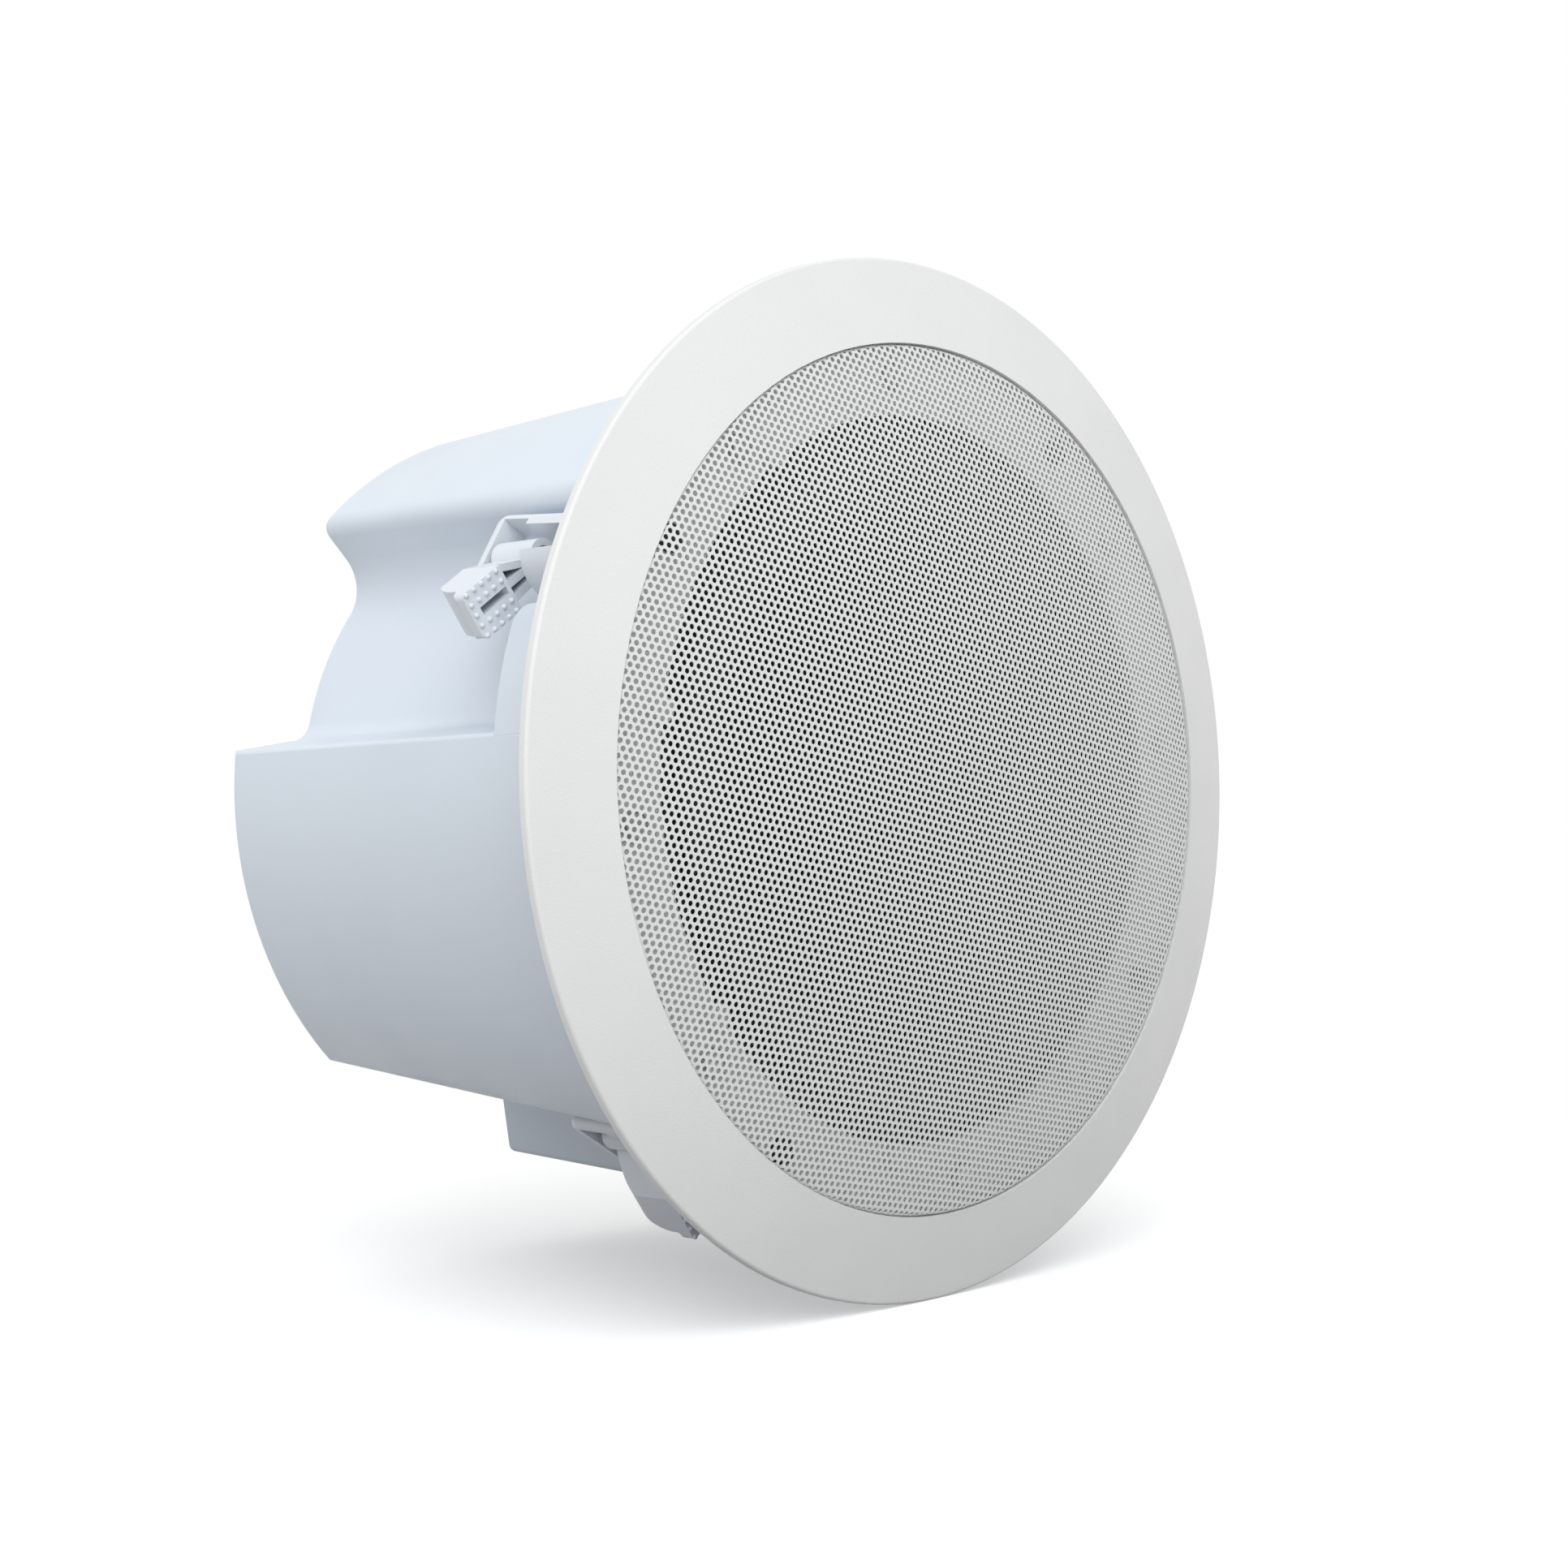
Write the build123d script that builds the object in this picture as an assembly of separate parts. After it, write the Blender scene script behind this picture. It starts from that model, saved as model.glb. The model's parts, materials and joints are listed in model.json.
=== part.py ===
# Round in-ceiling loudspeaker with a lobed back can and four swing-out clamps, in millimetres.
# Y is the speaker's axis: the grille faces -Y, the can goes back along +Y into the ceiling void.
# The origin is the middle of the bezel's seat, the plane that lies against the ceiling board.
import os
from math import cos, degrees, hypot, radians, sin, sqrt

from build123d import *

# Bezel and baffle, one moulding
BEZEL_R = 132.2            # outside of the bezel, from which the other radii follow
RIM_THICK = 2.2            # bezel's thickness at its rim
RIM_FILLET = 0.9           # rounding of the rim's front edge
BEZEL_RISE = 7.5           # how far the bezel's inner edge stands in front of its seat
BAFFLE_STEP = 0.4          # how far the baffle's back lies in front of the seat
BAFFLE_THICK = 2.4
SEAT_WIDTH = 10.0          # flat band that presses on the ceiling board
MOULD_WALL = 2.5           # wall of the bezel moulding
SPIGOT_LEN = 6.0           # collar that centres the can
SPIGOT_WALL = 2.2

# Perforated grille
GRILLE_SHEET = 0.6
GRILLE_GAP = 0.4           # between the grille's rim and the well
GRILLE_RIM = 4.0           # depth of the turned-back rim
WELL_ROOM = 2.2            # from the heads of the clamp screws to the well that the grille drops into
DOME_OVERRUN = 0.8         # past the well, where the dome's two sags are given
DOME_SAG = 7.27            # part of the sag that grows with the square of the radius
DOME_SAG_EDGE = 2.44       # part that grows with the fourth power
DOME_FRONT = 16.5          # how far the dome's middle stands in front of the seat
HOLE_RINGS = 5             # rings of coarse holes round the middle one
HOLE_MARGIN = 12.6         # from the outermost holes to the well
HOLE_R = 4.9

# Back can, a tapered shell with a channel at each clamp
CAN_DEPTH = 150.0          # from the ceiling seat to the back of the can
CAN_INSET = 19.7           # from the bezel's rim in to the can
CAN_TAPER = 7.2            # how much the can's radius shrinks towards the back
CAN_WALL = 3.0
REAR_ROUND = 2.0           # rounding of the can's back edge
CHANNEL_DEPTH = 23.1       # from the can's outside in to the channel's floor
STEEP_MOUTH_FRONT = -5.6   # degrees from the clamp to the channel's steep side, at the mouth
STEEP_MOUTH_REAR = -12.4
STEEP_FLOOR_FRONT = -5.0   # the same at the channel's floor
STEEP_FLOOR_REAR = -11.9
PLAIN_MOUTH = 25.9         # degrees from the clamp to the channel's other side
PLAIN_FLOOR = 21.6
CREST_ROUND = 0.195        # rounding where the steep side meets the lobe, as a share of the channel's depth
STEEP_ROUND = 0.52         # the same where the steep side meets the floor
PLAIN_ROUND = 0.26         # and where the other side does
CORNER_FILLET = 1.5
CHANNEL_RUN_OUT = 8.0      # degrees that a channel's cutting shape runs on past its mouth
CUT_R = 150.0              # how far out cutting shapes reach
SEAL_THICK = 1.0           # foam ring between can and bezel
COLLAR_LEN = 34.8          # stretch behind the bezel where the can stays round
COLLAR_ROUND = 5.0         # rounded corner of the collar beside each clamp
FLOOR_Y = 9.0              # front wall of each clamp's pocket
CAN_BOSS_R = 4.0
CAN_BOSS_LEN = 24.0
CAN_SCREW_R = 2.0
CAN_SCREW_LEN = 20.0
CAN_SCREW_INSET = 10.3     # from the can's outside in to its screws
CAN_SCREW_ANGLES = (38.0, 72.0)   # degrees past each clamp

# Clamps
CLAMPS = 4
FIRST_CLAMP = 58.0         # degrees from +X towards +Z
CLAMP_INSET = 8.0          # from the can's outside in to the clamp screws
POCKET_STEEP = 11.8        # half widths of the pocket on its two sides
POCKET_PLAIN = 18.9
POCKET_DEPTH = 14.8        # from the screw towards the speaker's axis
POCKET_END = 63.0
GUIDE_BASE = 3.0           # thickness of the guide's base plate
GUARD_R = 12.0             # half-round guard about the screw
GUARD_WALL = 2.3
GUARD_END = 36.0
GUARD_FROM = 32.0          # degrees from the outward direction where the guard starts
GUARD_TO = 212.0           # and where it ends
RAIL_FOOT = 8.0            # from the screw to the rail's far side, at its foot
RAIL_TOP = 12.3            # the same at the bridge
RAIL_THICK = 2.6
RAIL_WIDTH = 8.0
RAIL_STEP = 1.6            # how much thicker the rail's front stretch is
RAIL_STEP_END = 48.0
BRIDGE_FRONT = 57.5
BRIDGE_THICK = 3.6
BRIDGE_REACH = 8.5         # how far the bridge goes past the screw
BRIDGE_CORNER = 3.5
BRIDGE_ROUND = 2.2         # rounding of the bridge's long back edges
SCREW_R = 2.0
SCREW_HEAD_R = 3.4
SCREW_HEAD = 2.4
SCREW_HOLE_GAP = 0.25
NUT_R = 3.0
NUT_LEN = 7.6
RUNNING_GAP = 0.04         # radial, nut on screw and flag on nut
FLAG_FRONT = 38.8          # the pad's face, behind the ceiling seat
FLAG_REST = 67.0           # degrees that a parked flag stands away from straight out
BARREL_FRONT = 41.0        # the flag's sleeve on the nut
BARREL_R = 4.1
BARREL_LEN = 15.0
PAD_WIDTH = 12.4
PAD_NEAR = 15.2            # from the screw to the pad's near end
PAD_FAR = 29.0             # and to the toe at its far end
ARM_ROUND = 4.5            # rounding of the arm's two long edges at the back
TOE_DEPTH = 2.8
TOE_REACH = 2.4            # how far the toe stands out from the arm's end wall
TOE_ROUND = 0.8
TIP_ROUND = 1.5            # the toe's two corners
END_ROUND = 11.5           # the arm's back, where it comes down to the end wall
NECK_HALF = 5.0            # from the arm's middle to the neck's inner side, at the pad
NECK_START = 3.5           # the same at the screw
NECK_BAR = 2.0
NECK_FLOOR = 2.6
SLOT_WIDTH = 2.0
SLOT_LEAD = 1.2            # from the pad's near end to its slot
SLOT_LEN = 9.6
SLOT_DEPTH = 6.0

# Driver
BASKET_GAP = 0.2           # between the basket's rim and the posts of the can's screws
BASKET_SHEET = 1.2
FLANGE_WIDTH = 5.5         # screwed rim of the basket, outside the opening it plays through
GASKET_THICK = 1.5
LIP_THICK = 0.8            # rubber of the surround
OUTER_LIP = 6.5            # from the opening in to the surround's roll
ROLL_WIDTH = 12.0          # half-round roll of the surround
SURROUND_LIP = 4.0         # inner lip, glued to the cone
CONE_THICK = 1.0
COIL_R = 20.0              # outside of the coil's former
CONE_DEPTH = 38.5
NECK_LEN = 3.5
CAP_R = 27.0
CAP_RISE = 9.0
FORMER_WALL = 0.6
WINDING_LEN = 12.0
WINDING_THICK = 0.8
COIL_GAP = 0.8             # between the coil and the steel round it
SPIDER_INSET = 1.5         # from the landing's edge in to the spider's
SPIDER_ROOM = 5.4          # from the cone's neck back to the basket's landing for the spider
SPIDER_THICK = 0.6
SPIDER_WAVES = 4
SPIDER_WAVE = 1.2
LANDING_IN_R = 42.2
LANDING_WIDTH = 7.8
THROAT_DEPTH = 11.5        # from the landing to the basket's base, on the magnet's top plate
SHOULDER_INSET = 6.5       # from the surround's roll in to the basket's shoulder
SHOULDER_DEPTH = 7.9
WINDOWS = 6
WINDOW_SPAN = 42.0         # degrees
WINDOW_FOOT = 5.0          # sheet left between the windows and the landing
WINDOW_HEAD = 3.5          # and between the windows and the shoulder
TOP_PLATE_R = 48.0
TOP_PLATE_THICK = 6.0
MAGNET_R = 54.0
MAGNET_IN_R = 27.0
MAGNET_THICK = 17.0
BACK_PLATE_THICK = 6.0
VENT_R = 5.0
GLUE_GAP = 0.05
DRIVER_SCREWS = 8
DRIVER_SCREW_R = 1.5
DRIVER_SCREW_HEAD_R = 2.2
DRIVER_SCREW_HEAD = 1.8
DRIVER_SCREW_LEN = 6.6
DRIVER_BOSS_R = 3.2
DRIVER_BOSS = 3.2
TAG_WIDTH = 14.0
TAG_HEIGHT = 8.0
TAG_THICK = 2.0

# Cable gland on the can's back
GLAND_PLACE_R = 58.0
GLAND_ANGLE = 142.0        # degrees past the first clamp
GLAND_THREAD_R = 8.0
GLAND_BORE_R = 4.0
GLAND_HEX = 21.0           # across flats
GLAND_FLANGE = 4.0
GLAND_CAP_LEN = 9.0
GLAND_CAP_R = 9.2
GLAND_NUT = 4.0
GLAND_TAIL = 2.0           # thread past the lock nut


def turned(points):
    """A solid of revolution about Y from (radius, y) points."""
    return revolve(make_face(Polyline(*points, close=True)), Axis.Y)


def rod(radius, y_from, y_to, x=0.0, z=0.0):
    """A cylinder along Y."""
    length = y_to - y_from
    return Pos(x, y_from + length / 2, z) * Rot(90, 0, 0) * Cylinder(radius, length)


def slab(x_from, x_to, y_from, y_to, z_from, z_to):
    """A box given by its limits."""
    middle = ((x_from + x_to) / 2, (y_from + y_to) / 2, (z_from + z_to) / 2)
    return Pos(*middle) * Box(x_to - x_from, y_to - y_from, z_to - z_from)


def about_axis(shape, angle):
    """Turns a shape about the speaker's axis, counted from +X towards +Z."""
    return Rot(0, -angle, 0) * shape


def clamp_angles():
    return [FIRST_CLAMP + 360 * k / CLAMPS for k in range(CLAMPS)]


def around(shape, angles):
    """Copies of a shape made at angle 0, one at each angle."""
    return [about_axis(shape, angle) for angle in angles]


def front_sketch(y):
    """A plane across the axis, with X to the right and Z up as seen from the front."""
    return Plane(origin=(0, y, 0), x_dir=(1, 0, 0), z_dir=(0, -1, 0))


def side_sketch(x):
    """A plane facing the axis, drawn in Z and Y; extrude by a negative length to go outwards."""
    return Plane(origin=(x, 0, 0), x_dir=(0, 0, 1), z_dir=(-1, 0, 0))


def polar(radius, angle):
    return (radius * cos(radians(angle)), radius * sin(radians(angle)))


def dome_y(radius):
    """Front face of the grille's dome."""
    share = (radius / DOME_BASE_R) ** 2
    return -DOME_FRONT + DOME_SAG * share + DOME_SAG_EDGE * share ** 2


def can_radius(y):
    return CAN_FRONT_R - CAN_TAPER * y / CAN_DEPTH


def can_screw_angles():
    return [angle + more for angle in clamp_angles() for more in CAN_SCREW_ANGLES]


def driver_screw_angles():
    step = 360 / DRIVER_SCREWS
    return [FIRST_CLAMP + step * (k + 0.5) for k in range(DRIVER_SCREWS)]


# Radii that follow from the bezel's
CAN_FRONT_R = BEZEL_R - CAN_INSET
CLAMP_R = CAN_FRONT_R - CLAMP_INSET
GRILLE_WELL_R = CLAMP_R + SCREW_HEAD_R + WELL_ROOM
DOME_BASE_R = GRILLE_WELL_R + DOME_OVERRUN
HOLE_PITCH = (GRILLE_WELL_R - HOLE_MARGIN) / HOLE_RINGS
CAN_SCREW_PLACE_R = CAN_FRONT_R - CAN_SCREW_INSET
SPIGOT_R = can_radius(SPIGOT_LEN + SEAL_THICK) - CAN_WALL - GRILLE_GAP
BASKET_R = CAN_SCREW_PLACE_R - CAN_BOSS_R - BASKET_GAP
OPENING_R = BASKET_R - FLANGE_WIDTH
DRIVER_SCREW_PLACE_R = (OPENING_R + BASKET_R) / 2
ROLL_OUT_R = OPENING_R - OUTER_LIP
ROLL_IN_R = ROLL_OUT_R - ROLL_WIDTH
CONE_IN_R = ROLL_IN_R - SURROUND_LIP
SHOULDER_R = ROLL_OUT_R - SHOULDER_INSET
LANDING_OUT_R = LANDING_IN_R + LANDING_WIDTH

# Places along the axis that several pieces share
BAFFLE_BACK = -BAFFLE_STEP
BAFFLE_FRONT = BAFFLE_BACK - BAFFLE_THICK
CAN_FRONT_Y = BAFFLE_BACK + SEAL_THICK
FLANGE_Y = BAFFLE_BACK + GASKET_THICK
POCKET_FACE = FLOOR_Y + CAN_WALL
BRIDGE_BACK = BRIDGE_FRONT + BRIDGE_THICK
FLAG_BACK = BARREL_FRONT + BARREL_LEN
NECK_Y = FLANGE_Y + CONE_DEPTH
SHOULDER_Y = FLANGE_Y + SHOULDER_DEPTH
LANDING_Y = NECK_Y + SPIDER_ROOM
BASE_Y = LANDING_Y + THROAT_DEPTH
TOP_PLATE_Y = BASE_Y + BASKET_SHEET
MAGNET_Y = TOP_PLATE_Y + TOP_PLATE_THICK
BACK_PLATE_Y = MAGNET_Y + MAGNET_THICK
FORMER_FRONT = NECK_Y - NECK_LEN
FORMER_BACK = MAGNET_Y + TOP_PLATE_THICK


def make_bezel():
    """Sloping bezel, grille well, baffle ring and the collar that centres the can."""
    slope = (BEZEL_RISE - RIM_THICK) / (BEZEL_R - GRILLE_WELL_R)
    seat_in = BEZEL_R - SEAT_WIDTH
    groove_in = CAN_FRONT_R + MOULD_WALL
    rise = lambda radius: RIM_THICK + slope * (BEZEL_R - radius)
    front, back, spigot_end = BAFFLE_FRONT, BAFFLE_BACK, BAFFLE_BACK + SPIGOT_LEN
    body = turned([
        (OPENING_R, back), (OPENING_R, front), (GRILLE_WELL_R, front),
        (GRILLE_WELL_R, -BEZEL_RISE), (BEZEL_R, -RIM_THICK), (BEZEL_R, 0), (seat_in, 0),
        (seat_in, MOULD_WALL - rise(seat_in)), (groove_in, MOULD_WALL - rise(groove_in)), (groove_in, back),
        (SPIGOT_R, back), (SPIGOT_R, spigot_end),
        (SPIGOT_R - SPIGOT_WALL, spigot_end), (SPIGOT_R - SPIGOT_WALL, back),
    ])
    rim = body.edges().filter_by(GeomType.CIRCLE).group_by(SortBy.RADIUS)[-1].sort_by(Axis.Y)[0]
    body = fillet(rim, RIM_FILLET)
    boss = rod(DRIVER_BOSS_R, front - DRIVER_BOSS, front, DRIVER_SCREW_PLACE_R)
    pilot_end = FLANGE_Y + BASKET_SHEET - DRIVER_SCREW_LEN
    pilot = rod(DRIVER_SCREW_R + GLUE_GAP, pilot_end, back, DRIVER_SCREW_PLACE_R)
    can_hole = rod(CAN_SCREW_R + SCREW_HOLE_GAP, front, back, CAN_SCREW_PLACE_R)
    clamp_hole = rod(SCREW_R + SCREW_HOLE_GAP, front, back, CLAMP_R)
    body += around(boss, driver_screw_angles())
    return body - (around(pilot, driver_screw_angles()) + around(can_hole, can_screw_angles())
                   + around(clamp_hole, clamp_angles()))


def make_grille():
    """Domed sheet with a turned-back rim; coarse holes stand in for the fine perforation."""
    edge_r = GRILLE_WELL_R - GRILLE_GAP
    shoulder_r = edge_r - GRILLE_RIM / 4
    front = [(r, dome_y(r)) for r in (0, shoulder_r / 3, 2 * shoulder_r / 3, shoulder_r)]
    back = [(r, y + GRILLE_SHEET) for r, y in reversed(front)]
    inner_r = edge_r - GRILLE_SHEET
    back[0] = (inner_r - GRILLE_SHEET / 2, dome_y(inner_r) + GRILLE_SHEET)
    rim_end = dome_y(edge_r) + GRILLE_RIM
    turn_y = dome_y(edge_r) + GRILLE_SHEET
    outline = [
        Spline(*front), Line(front[-1], (edge_r, turn_y)), Line((edge_r, turn_y), (edge_r, rim_end)),
        Line((edge_r, rim_end), (inner_r, rim_end)),
        Line((inner_r, rim_end), (inner_r, turn_y + GRILLE_SHEET)),
        Line((inner_r, turn_y + GRILLE_SHEET), back[0]), Spline(*back), Line(back[-1], front[0]),
    ]
    sheet = revolve(make_face(outline), Axis.Y)
    rows = range(-HOLE_RINGS, HOLE_RINGS + 1)
    places = [(i + j / 2, j * sin(radians(60))) for i in rows for j in rows if abs(i + j) <= HOLE_RINGS]
    return sheet - [rod(HOLE_R, -DOME_FRONT - GRILLE_SHEET, 0, HOLE_PITCH * x, HOLE_PITCH * z)
                    for x, z in places]


def channel_section(y, inset):
    """Outline of the channel at angle 0, run out past the can; inset moves its walls into the lobes."""
    between = lambda front, rear: front + (rear - front) * y / CAN_DEPTH
    lobe_r = can_radius(y) - inset
    floor_r = lobe_r - CHANNEL_DEPTH
    lobe_turn, floor_turn = degrees(inset / lobe_r), degrees(inset / floor_r)
    crest_at = between(STEEP_MOUTH_FRONT, STEEP_MOUTH_REAR) - lobe_turn
    steep_at = between(STEEP_FLOOR_FRONT, STEEP_FLOOR_REAR) - floor_turn
    plain_at, corner_at = PLAIN_FLOOR + floor_turn, PLAIN_MOUTH + lobe_turn
    crest, corner = polar(lobe_r, crest_at), polar(lobe_r, corner_at)
    steep, plain = polar(floor_r, steep_at), polar(floor_r, plain_at)
    run_out = lobe_r / cos(radians(CHANNEL_RUN_OUT))
    before, after = crest_at - CHANNEL_RUN_OUT, corner_at + CHANNEL_RUN_OUT
    face = make_face([
        Polyline(polar(run_out, before), crest, steep),
        ThreePointArc(steep, polar(floor_r, (steep_at + plain_at) / 2), plain),
        Polyline(plain, corner, polar(run_out, after), polar(CUT_R, after), polar(CUT_R, before),
                 polar(run_out, before)),
    ])
    rounds = [(crest, CREST_ROUND * CHANNEL_DEPTH - inset), (steep, STEEP_ROUND * CHANNEL_DEPTH + inset),
              (plain, PLAIN_ROUND * CHANNEL_DEPTH + inset), (corner, CORNER_FILLET)]
    for place, radius in rounds:
        face = fillet([nearest_vertex(face, place)], radius)
    return front_sketch(y) * face


def nearest_vertex(face, place):
    return min(face.vertices(), key=lambda v: hypot(v.X - place[0], v.Y - place[1]))


def channel(y_from, y_to, inset=0.0):
    """Drafted channel at angle 0, between two depths."""
    return loft([channel_section(y_from, inset), channel_section(y_to, inset)], ruled=True)


def round_body(y_from, y_to, inset=0.0, rear_round=0.0):
    """The can's outside as a plain cone, between two depths."""
    near, far = can_radius(y_from) - inset, can_radius(y_to) - inset
    face = make_face(Polyline((0, y_from), (near, y_from), (far, y_to), (0, y_to), close=True))
    if rear_round:
        face = fillet([nearest_vertex(face, (far, y_to))], rear_round)
    return revolve(face, Axis.Y)


def collar_block(inset=0.0):
    """Block beside a clamp at angle 0, where the can stays round behind the bezel."""
    side = POCKET_PLAIN + inset
    end = COLLAR_LEN - inset
    outer = CAN_FRONT_R * sin(radians(PLAIN_MOUTH)) + inset
    face = make_face(Polyline((side, 0), (outer, 0), (outer, end), (side, end), close=True))
    face = fillet([nearest_vertex(face, (side, end))], COLLAR_ROUND)
    block = extrude(side_sketch(0) * face, -CAN_FRONT_R)
    inner = (CAN_FRONT_R - CHANNEL_DEPTH) * cos(radians(PLAIN_FLOOR)) - 2 * CAN_WALL
    return block - slab(-CAN_FRONT_R, inner, -CAN_DEPTH, CAN_DEPTH, -CAN_FRONT_R, CAN_FRONT_R)


def pocket(grow=0.0):
    """Room for the clamp at angle 0, cut into the channel's steep side."""
    return slab(CLAMP_R - POCKET_DEPTH - grow, CUT_R, POCKET_FACE - grow, POCKET_END + grow,
                -POCKET_STEEP - grow, POCKET_PLAIN)


def make_can():
    """Lobed shell: round behind the bezel, with a drafted channel at each clamp, open at the front."""
    front, back = CAN_FRONT_Y, CAN_DEPTH
    angles = clamp_angles()
    cut = channel(POCKET_FACE, back + CAN_WALL) - collar_block()
    kept = channel(FLOOR_Y, back, CAN_WALL) - collar_block(CAN_WALL)
    outside = round_body(front, back, rear_round=REAR_ROUND) - around(cut, angles) - around(pocket(), angles)
    hollow = round_body(front, back - CAN_WALL, CAN_WALL)
    hollow -= around(kept, angles) + around(pocket(CAN_WALL), angles)
    can = outside - hollow + around(can_boss(), can_screw_angles())
    pilot_end = BAFFLE_FRONT + CAN_SCREW_LEN + SCREW_HOLE_GAP
    pilot = rod(CAN_SCREW_R + GLUE_GAP, BAFFLE_BACK, pilot_end, CAN_SCREW_PLACE_R)
    clamp_hole = rod(SCREW_R + SCREW_HOLE_GAP, front, POCKET_FACE, CLAMP_R)
    can -= around(pilot, can_screw_angles()) + around(clamp_hole, angles)
    x, z = polar(GLAND_PLACE_R, FIRST_CLAMP + GLAND_ANGLE)
    return can - rod(GLAND_THREAD_R + SCREW_HOLE_GAP, back - CAN_WALL, back, x, z)


def can_boss():
    """Screw post at angle 0, webbed to the can's wall behind the collar."""
    end = CAN_FRONT_Y + CAN_BOSS_LEN
    post = rod(CAN_BOSS_R, BAFFLE_BACK, end, CAN_SCREW_PLACE_R)
    web = slab(CAN_SCREW_PLACE_R, CAN_FRONT_R, CAN_FRONT_Y + SPIGOT_LEN, end, -CAN_WALL / 2, CAN_WALL / 2)
    return post + (web & round_body(0, COLLAR_LEN, CAN_WALL / 2))


def make_seal():
    inner, outer = CAN_FRONT_R - CAN_WALL, CAN_FRONT_R - GRILLE_GAP
    front, back = BAFFLE_BACK, CAN_FRONT_Y
    return turned([(inner, front), (outer, front), (outer, back), (inner, back)])


def pan_screw(radius, length, head_r, head):
    """Pan-head screw along Y with the head's underside at y = 0."""
    dome = Pos(0, -head / 2, 0) * Rot(90, 0, 0) * Cylinder(head_r, head)
    top = [e for e in dome.edges() if e.center().Y < -head * 0.9 and e.geom_type == GeomType.CIRCLE]
    return fillet(top, head * 0.45) + rod(radius, 0, length)


def make_can_screws():
    screw = pan_screw(CAN_SCREW_R, CAN_SCREW_LEN, CAN_BOSS_R * 0.85, SCREW_HEAD)
    return around(Pos(CAN_SCREW_PLACE_R, BAFFLE_FRONT, 0) * screw, can_screw_angles())


def make_driver_screws():
    screw = pan_screw(DRIVER_SCREW_R, DRIVER_SCREW_LEN, DRIVER_SCREW_HEAD_R, DRIVER_SCREW_HEAD)
    placed = Pos(DRIVER_SCREW_PLACE_R, FLANGE_Y + BASKET_SHEET, 0) * Rot(180, 0, 0) * screw
    return around(placed, driver_screw_angles())


def clamp_sector(radius, y_from, y_to, start, end):
    """A pie-shaped block about the clamp screw at angle 0."""
    face = make_face([
        Line((0, 0), polar(radius, start)),
        ThreePointArc(polar(radius, start), polar(radius, (start + end) / 2), polar(radius, end)),
        Line(polar(radius, end), (0, 0)),
    ])
    return Pos(CLAMP_R, 0, 0) * extrude(front_sketch(y_from) * face, -(y_to - y_from))


def make_guide():
    """Guide of one clamp: base plate, half-round guard, slanting rail and a bridge for the screw's tip."""
    base_back = POCKET_FACE + GUIDE_BASE
    half = RAIL_WIDTH / 2
    slant = (RAIL_TOP - RAIL_FOOT) / (BRIDGE_FRONT - POCKET_FACE)
    near = lambda y: RAIL_THICK - RAIL_FOOT - slant * (y - POCKET_FACE)
    base = slab(CLAMP_R - half, CLAMP_R + half, POCKET_FACE, base_back, -RAIL_FOOT, GUARD_R)
    guard = clamp_sector(GUARD_R, POCKET_FACE, GUARD_END, GUARD_FROM, GUARD_TO)
    guard -= rod(GUARD_R - GUARD_WALL, base_back, GUARD_END, CLAMP_R)
    hook = make_face(Polyline(
        (near(POCKET_FACE) + RAIL_STEP, POCKET_FACE), (near(RAIL_STEP_END) + RAIL_STEP, RAIL_STEP_END),
        (near(RAIL_STEP_END), RAIL_STEP_END), (near(BRIDGE_FRONT), BRIDGE_FRONT),
        (BRIDGE_REACH, BRIDGE_FRONT), (BRIDGE_REACH, BRIDGE_BACK), (-RAIL_TOP, BRIDGE_BACK),
        (-RAIL_FOOT, POCKET_FACE), close=True))
    hook = fillet([nearest_vertex(hook, (-RAIL_TOP, BRIDGE_BACK))], BRIDGE_CORNER)
    arm = extrude(side_sketch(CLAMP_R - half) * hook, -RAIL_WIDTH)
    arm = fillet(arm.edges().filter_by(Axis.Y).group_by(Axis.Z)[-1], BRIDGE_CORNER)
    arm = fillet(arm.edges().filter_by(Axis.Z).group_by(Axis.Y)[-1], BRIDGE_ROUND)
    return base + guard + arm - rod(SCREW_R + SCREW_HOLE_GAP, 0, CAN_DEPTH, CLAMP_R)


def make_clamp_screw():
    screw = pan_screw(SCREW_R, BRIDGE_BACK - BAFFLE_FRONT, SCREW_HEAD_R, SCREW_HEAD)
    return Pos(CLAMP_R, BAFFLE_FRONT, 0) * screw


def make_nut():
    """Plain round nut that the flag turns on."""
    nut = rod(NUT_R, FLAG_BACK - NUT_LEN, FLAG_BACK, CLAMP_R)
    return nut - rod(SCREW_R + RUNNING_GAP, 0, CAN_DEPTH, CLAMP_R)


def make_flag():
    """Swing-out flag: a sleeve on the nut and a rounded arm, turned to where it is parked."""
    flag = rod(BARREL_R, BARREL_FRONT, FLAG_BACK, CLAMP_R) + Pos(CLAMP_R, 0, 0) * make_arm()
    flag -= rod(SCREW_R + SCREW_HOLE_GAP, 0, CAN_DEPTH, CLAMP_R)
    flag -= rod(NUT_R + RUNNING_GAP, FLAG_BACK - NUT_LEN, FLAG_BACK, CLAMP_R)
    return Pos(CLAMP_R, 0, 0) * Rot(0, -FLAG_REST, 0) * Pos(-CLAMP_R, 0, 0) * flag


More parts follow.
